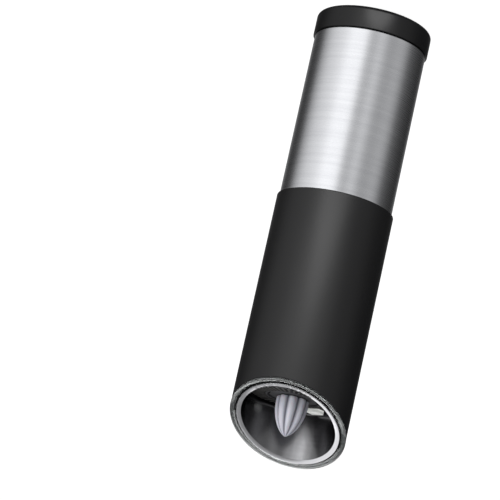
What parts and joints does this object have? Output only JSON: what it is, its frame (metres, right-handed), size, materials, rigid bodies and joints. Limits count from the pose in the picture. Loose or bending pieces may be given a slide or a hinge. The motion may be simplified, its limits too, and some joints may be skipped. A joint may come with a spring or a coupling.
{
  "type": "pepper mill",
  "caption": "Slim round battery pepper mill: brushed steel motor half, black grinder half with a slanted clear-rimmed mouth, fluted adjuster knob and unscrewing end cap.",
  "frame": {"origin": "middle of the end cap's flat face, on which the mill stands", "axes": "+Z from the end cap to the mouth, along the mill; +Y towards the mouth's tall wall"},
  "size_m": [0.0522, 0.0522, 0.1984],
  "materials": {
    "steel_sleeve": "brushed round the axis",
    "plain_steel": "satin",
    "soft_touch_grip": "soft-touch matte",
    "satin_black": "satin moulded",
    "grey_abs": "moulded",
    "clear_acrylic": "clear polished",
    "ceramic": "sintered matte",
    "knob_acetal": "translucent satin",
    "gear_acetal": "moulded",
    "black_rubber": "matte",
    "grey_foam": "foam",
    "circuit_board": "lacquered",
    "brass": "plain",
    "cell_jacket": "printed film"
  },
  "bodies": {
    "motor_module": {"steel_sleeve": "steel_sleeve", "chassis": "satin_black", "supply_contact_1": "brass", "supply_contact_2": "brass", "motor_housing": "satin_black", "seal_ring": "black_rubber", "chamber_floor": "satin_black", "motor_can": "plain_steel", "motor_end_bell": "satin_black", "control_board": "circuit_board", "tilt_switch_base": "satin_black", "tilt_switch_can": "plain_steel", "gearbox_base": "grey_abs", "ring_gear": "gear_acetal", "gearbox_cover": "grey_abs", "output_bush": "brass", "gearbox_screw_1": "plain_steel", "gearbox_screw_2": "plain_steel", "gearbox_screw_3": "plain_steel"},
    "battery_pack": {"battery_holder": "satin_black", "cell_1": "cell_jacket", "cell_2": "cell_jacket", "cell_3": "cell_jacket", "cell_4": "cell_jacket", "cell_5": "cell_jacket", "cell_6": "cell_jacket", "lower_contact_1": "brass", "lower_contact_2": "brass", "lower_contact_3": "brass", "upper_contact_1": "brass", "upper_contact_2": "brass"},
    "end_cap": {"end_cap": "satin_black", "cap_pad": "grey_foam"},
    "tilt_ball": {"tilt_ball": "plain_steel"},
    "motor_shaft": {"motor_shaft": "brass"},
    "first_carrier": {"first_carrier": "gear_acetal"},
    "first_planet_1": {"first_planet_1": "gear_acetal"},
    "first_planet_2": {"first_planet_2": "gear_acetal"},
    "first_planet_3": {"first_planet_3": "gear_acetal"},
    "output_carrier": {"output_carrier": "gear_acetal"},
    "second_planet_1": {"second_planet_1": "gear_acetal"},
    "second_planet_2": {"second_planet_2": "gear_acetal"},
    "second_planet_3": {"second_planet_3": "gear_acetal"},
    "grinder_module": {"grip_sleeve": "soft_touch_grip", "clear_barrel": "clear_acrylic", "mouth_liner": "plain_steel", "burr_housing": "satin_black", "burr_ring": "ceramic", "burr_retainer": "satin_black", "shaft_bush": "brass", "led_lens": "clear_acrylic", "led_lamp": "clear_acrylic", "led_conduit": "satin_black"},
    "drive_shaft": {"drive_shaft": "plain_steel", "retaining_ring": "plain_steel"},
    "burr_rotor": {"burr_rotor": "ceramic", "burr_spring": "plain_steel"},
    "adjuster_knob": {"adjuster_knob": "knob_acetal"}
  },
  "joints": [
    {"name": "cap_slide", "type": "slide", "parent": "motor_module", "child": "battery_pack", "axis": [0, 0, -1], "range_m": [0, 0.009]},
    {"name": "cap_turn", "type": "hinge", "parent": "battery_pack", "child": "end_cap", "pos_m": [0, 0, 0.005], "axis": [0, 0, -1], "range_deg": [0, 1080]},
    {"name": "grinder_lift", "type": "slide", "parent": "motor_module", "child": "grinder_module", "axis": [0, 0, 1], "range_m": [0, 0.06]},
    {"name": "drive_spin", "type": "hinge", "parent": "grinder_module", "child": "drive_shaft", "pos_m": [0, 0, 0.15], "axis": [0, 0, 1], "continuous": true},
    {"name": "rotor_slide", "type": "slide", "parent": "drive_shaft", "child": "burr_rotor", "axis": [0, 0, 1], "range_m": [-0.0005, 0.001], "deforming": ["burr_spring"]},
    {"name": "knob_turn", "type": "hinge", "parent": "burr_rotor", "child": "adjuster_knob", "pos_m": [0, 0, 0.18], "axis": [0, 0, 1], "range_deg": [-180, 360]},
    {"name": "tilt_ball_roll", "type": "slide", "parent": "motor_module", "child": "tilt_ball", "axis": [0, 0, 1], "range_m": [0, 0.004]},
    {"name": "output_spin", "type": "hinge", "parent": "motor_module", "child": "output_carrier", "pos_m": [0, 0, 0.105], "axis": [0, 0, 1], "continuous": true},
    {"name": "second_planet_1_spin", "type": "hinge", "parent": "output_carrier", "child": "second_planet_1", "pos_m": [0.00902, 0, 0.0976], "axis": [0, 0, 1], "continuous": true},
    {"name": "second_planet_2_spin", "type": "hinge", "parent": "output_carrier", "child": "second_planet_2", "pos_m": [-0.00451, 0.00781, 0.0976], "axis": [0, 0, 1], "continuous": true},
    {"name": "second_planet_3_spin", "type": "hinge", "parent": "output_carrier", "child": "second_planet_3", "pos_m": [-0.00451, -0.00781, 0.0976], "axis": [0, 0, 1], "continuous": true},
    {"name": "first_carrier_spin", "type": "hinge", "parent": "motor_module", "child": "first_carrier", "pos_m": [0, 0, 0.0948], "axis": [0, 0, 1], "continuous": true},
    {"name": "first_planet_1_spin", "type": "hinge", "parent": "first_carrier", "child": "first_planet_1", "pos_m": [0.00902, 0, 0.0919], "axis": [0, 0, 1], "continuous": true},
    {"name": "first_planet_2_spin", "type": "hinge", "parent": "first_carrier", "child": "first_planet_2", "pos_m": [-0.00451, 0.00781, 0.0919], "axis": [0, 0, 1], "continuous": true},
    {"name": "first_planet_3_spin", "type": "hinge", "parent": "first_carrier", "child": "first_planet_3", "pos_m": [-0.00451, -0.00781, 0.0919], "axis": [0, 0, 1], "continuous": true},
    {"name": "motor_spin", "type": "hinge", "parent": "motor_module", "child": "motor_shaft", "pos_m": [0, 0, 0.09], "axis": [0, 0, 1], "continuous": true}
  ],
  "couplings": [
    {"joint": "cap_slide", "follows": "cap_turn", "m_per_rad": 0.00047746},
    {"joint": "knob_turn", "follows": "rotor_slide", "rad_per_m": 6283.2},
    {"joint": "output_spin", "follows": "drive_spin", "ratio": 1},
    {"joint": "second_planet_1_spin", "follows": "drive_spin", "ratio": -2.6667},
    {"joint": "second_planet_2_spin", "follows": "drive_spin", "ratio": -2.6667},
    {"joint": "second_planet_3_spin", "follows": "drive_spin", "ratio": -2.6667},
    {"joint": "first_carrier_spin", "follows": "drive_spin", "ratio": 5},
    {"joint": "first_planet_1_spin", "follows": "drive_spin", "ratio": -13.333},
    {"joint": "first_planet_2_spin", "follows": "drive_spin", "ratio": -13.333},
    {"joint": "first_planet_3_spin", "follows": "drive_spin", "ratio": -13.333},
    {"joint": "motor_spin", "follows": "drive_spin", "ratio": 25}
  ]
}
